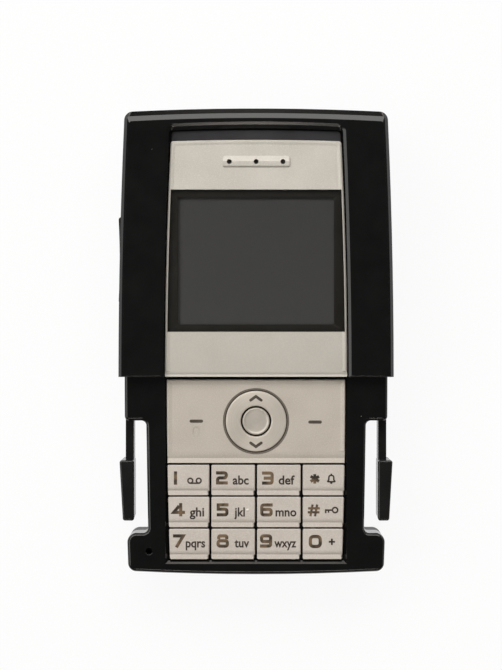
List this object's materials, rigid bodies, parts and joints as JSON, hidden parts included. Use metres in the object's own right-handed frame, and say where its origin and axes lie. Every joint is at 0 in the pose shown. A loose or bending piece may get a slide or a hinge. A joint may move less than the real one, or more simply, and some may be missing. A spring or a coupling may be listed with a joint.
{
  "type": "mobile phone",
  "caption": "Bar-shaped mobile phone with a wide display collar, a silver keypad and sprung side arms that clip its narrower lower half into a holder.",
  "frame": {"origin": "on the back face, in the middle of the outline", "axes": "+Z out of the display, +Y towards the earpiece, +X to the reader's right"},
  "size_m": [0.0501, 0.0848, 0.0158],
  "materials": {
    "collar_black": "gloss",
    "body_black": "satin gloss",
    "back_black": "fine matt grain",
    "arm_black": "satin gloss",
    "insert_grey": "satin",
    "silver_face": "metallic paint",
    "silver_panel": "metallic paint",
    "silver_key": "metallic paint",
    "lens_clear": "clear, polished",
    "mask_black": "print",
    "display_glass": "unlit display",
    "frame_white": "matt",
    "flex_amber": "satin",
    "soft_rubber": "matt",
    "board_green": "solder mask",
    "plain_steel": "stamped",
    "weight_brass": "plain",
    "dark_moulding": "moulded",
    "cell_can": "wrapped can"
  },
  "bodies": {
    "housing": {"antenna_carrier": "dark_moulding", "antenna_plate": "weight_brass", "arm_pins": "plain_steel", "arm_spring_left": "plain_steel", "arm_spring_right": "plain_steel", "battery_connector": "dark_moulding", "battery_pack": "cell_can", "card_holder": "dark_moulding", "display_gasket": "soft_rubber", "display_lens": "lens_clear", "earpiece_receiver": "plain_steel", "faceplate": "silver_face", "housing_screws": "plain_steel", "key_domes": "plain_steel", "key_lamps": "frame_white", "keypad_mat": "soft_rubber", "lcd_backlight": "frame_white", "lcd_flex": "flex_amber", "lcd_panel": "display_glass", "lens_mask": "mask_black", "lower_front_shell": "body_black", "main_board": "board_green", "microphone": "plain_steel", "microphone_boot": "soft_rubber", "rear_shell": "back_black", "ringer_speaker": "plain_steel", "shield_cans": "plain_steel", "side_switches": "plain_steel", "system_connector": "dark_moulding", "top_insert": "insert_grey", "upper_front_shell": "collar_black", "vibration_motor": "plain_steel"},
    "battery_cover": {"battery_cover": "back_black"},
    "clip_arm_left": {"clip_arm_left": "arm_black"},
    "clip_arm_right": {"clip_arm_right": "arm_black"},
    "key_0": {"key_0": "silver_key"},
    "key_1": {"key_1": "silver_key"},
    "key_2": {"key_2": "silver_key"},
    "key_3": {"key_3": "silver_key"},
    "key_4": {"key_4": "silver_key"},
    "key_5": {"key_5": "silver_key"},
    "key_6": {"key_6": "silver_key"},
    "key_7": {"key_7": "silver_key"},
    "key_8": {"key_8": "silver_key"},
    "key_9": {"key_9": "silver_key"},
    "key_hash": {"key_hash": "silver_key"},
    "key_star": {"key_star": "silver_key"},
    "nav_ring": {"nav_ring": "silver_panel"},
    "select_button": {"select_button": "silver_panel"},
    "side_key": {"side_key": "arm_black"},
    "softkey_panel": {"softkey_panel": "silver_panel"},
    "vibration_weight": {"vibration_weight": "weight_brass"}
  },
  "joints": [
    {"name": "arm_right_squeeze", "type": "hinge", "parent": "housing", "child": "clip_arm_right", "pos_m": [0.0226, -0.00996, 0.00725], "axis": [0, 0, -1], "range_deg": [0, 6], "stiffness_Nm_per_rad": 0.45, "springref_deg": -2.86, "deforming": ["arm_spring_right"]},
    {"name": "arm_left_squeeze", "type": "hinge", "parent": "housing", "child": "clip_arm_left", "pos_m": [-0.0226, -0.00996, 0.00725], "axis": [0, 0, 1], "range_deg": [0, 6], "stiffness_Nm_per_rad": 0.45, "springref_deg": -2.86, "deforming": ["arm_spring_left"]},
    {"name": "key_0_press", "type": "slide", "parent": "housing", "child": "key_0", "axis": [0, 0, -1], "range_m": [0, 0.0004], "stiffness_N_per_m": 1000, "springref_m": -0.0005},
    {"name": "key_1_press", "type": "slide", "parent": "housing", "child": "key_1", "axis": [0, 0, -1], "range_m": [0, 0.0004], "stiffness_N_per_m": 1000, "springref_m": -0.0005},
    {"name": "key_2_press", "type": "slide", "parent": "housing", "child": "key_2", "axis": [0, 0, -1], "range_m": [0, 0.0004], "stiffness_N_per_m": 1000, "springref_m": -0.0005},
    {"name": "key_3_press", "type": "slide", "parent": "housing", "child": "key_3", "axis": [0, 0, -1], "range_m": [0, 0.0004], "stiffness_N_per_m": 1000, "springref_m": -0.0005},
    {"name": "key_4_press", "type": "slide", "parent": "housing", "child": "key_4", "axis": [0, 0, -1], "range_m": [0, 0.0004], "stiffness_N_per_m": 1000, "springref_m": -0.0005},
    {"name": "key_5_press", "type": "slide", "parent": "housing", "child": "key_5", "axis": [0, 0, -1], "range_m": [0, 0.0004], "stiffness_N_per_m": 1000, "springref_m": -0.0005},
    {"name": "key_6_press", "type": "slide", "parent": "housing", "child": "key_6", "axis": [0, 0, -1], "range_m": [0, 0.0004], "stiffness_N_per_m": 1000, "springref_m": -0.0005},
    {"name": "key_7_press", "type": "slide", "parent": "housing", "child": "key_7", "axis": [0, 0, -1], "range_m": [0, 0.0004], "stiffness_N_per_m": 1000, "springref_m": -0.0005},
    {"name": "key_8_press", "type": "slide", "parent": "housing", "child": "key_8", "axis": [0, 0, -1], "range_m": [0, 0.0004], "stiffness_N_per_m": 1000, "springref_m": -0.0005},
    {"name": "key_9_press", "type": "slide", "parent": "housing", "child": "key_9", "axis": [0, 0, -1], "range_m": [0, 0.0004], "stiffness_N_per_m": 1000, "springref_m": -0.0005},
    {"name": "key_hash_press", "type": "slide", "parent": "housing", "child": "key_hash", "axis": [0, 0, -1], "range_m": [0, 0.0004], "stiffness_N_per_m": 1000, "springref_m": -0.0005},
    {"name": "key_star_press", "type": "slide", "parent": "housing", "child": "key_star", "axis": [0, 0, -1], "range_m": [0, 0.0004], "stiffness_N_per_m": 1000, "springref_m": -0.0005},
    {"name": "select_press", "type": "slide", "parent": "housing", "child": "select_button", "axis": [0, 0, -1], "range_m": [0, 0.0004], "stiffness_N_per_m": 1000, "springref_m": -0.0005},
    {"name": "nav_ring_rock", "type": "hinge", "parent": "housing", "child": "nav_ring", "pos_m": [0, -0.01447, 0.0112], "axis": [1, 0, 0], "range_deg": [-2.5, 2.5], "stiffness_Nm_per_rad": 0.15},
    {"name": "softkey_rock", "type": "hinge", "parent": "housing", "child": "softkey_panel", "pos_m": [0, -0.01447, 0.0112], "axis": [0, 1, 0], "range_deg": [-1.2, 1.2], "stiffness_Nm_per_rad": 0.8},
    {"name": "side_key_rock", "type": "hinge", "parent": "housing", "child": "side_key", "pos_m": [-0.02315, 0.01494, 0.0106], "axis": [0, 0, 1], "range_deg": [-1.2, 1.2], "stiffness_Nm_per_rad": 0.36},
    {"name": "battery_cover_slide", "type": "slide", "parent": "housing", "child": "battery_cover", "axis": [0, -1, 0], "range_m": [0, 0.056]},
    {"name": "vibration_spin", "type": "hinge", "parent": "housing", "child": "vibration_weight", "pos_m": [0.0129, 0.0161, 0.0034], "axis": [1, 0, 0], "continuous": true}
  ]
}
